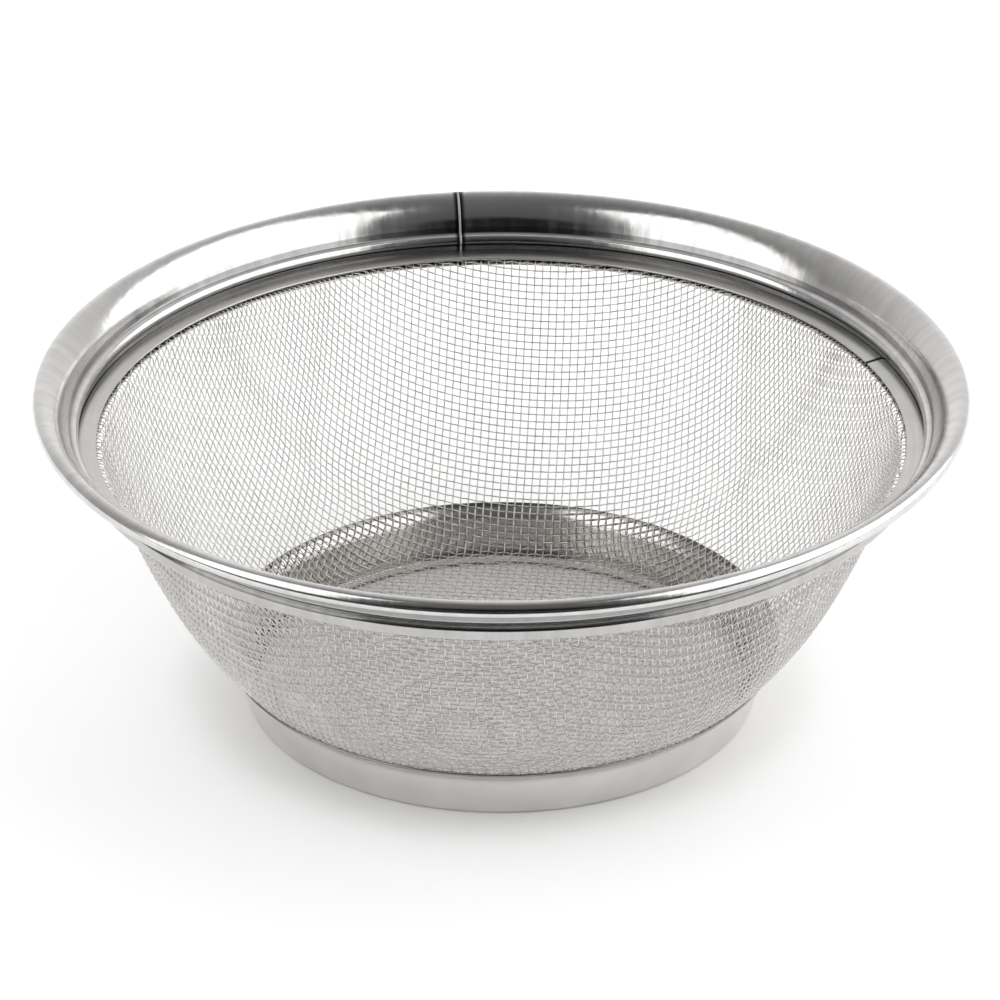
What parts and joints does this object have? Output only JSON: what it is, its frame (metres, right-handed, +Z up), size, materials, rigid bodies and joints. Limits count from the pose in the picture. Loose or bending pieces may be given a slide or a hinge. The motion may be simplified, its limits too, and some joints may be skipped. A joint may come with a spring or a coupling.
{
  "type": "mesh bowl strainer",
  "caption": "Round stainless steel bowl strainer of woven wire cloth, with a wide flared rim, a rolled edge and a low foot ring.",
  "frame": {"origin": "centre of the circle on which the foot ring stands, at table height", "axes": "+Z up along the bowl's axis, out of its mouth; the rim band's weld lies close to +Y"},
  "size_m": [0.2, 0.2, 0.0745],
  "materials": {
    "rim_sheet": "polished stainless steel sheet",
    "weld_metal": "ground weld bead",
    "clamp_strip": "satin stainless steel strip",
    "wire_cloth": "bright drawn wire, plain weave",
    "foot_sheet": "satin stainless steel sheet"
  },
  "bodies": {
    "root": {"rim_band": "rim_sheet", "rim_weld": "weld_metal", "clamp_ring": "clamp_strip", "mesh_bowl": "wire_cloth", "foot_ring": "foot_sheet"}
  },
  "joints": []
}
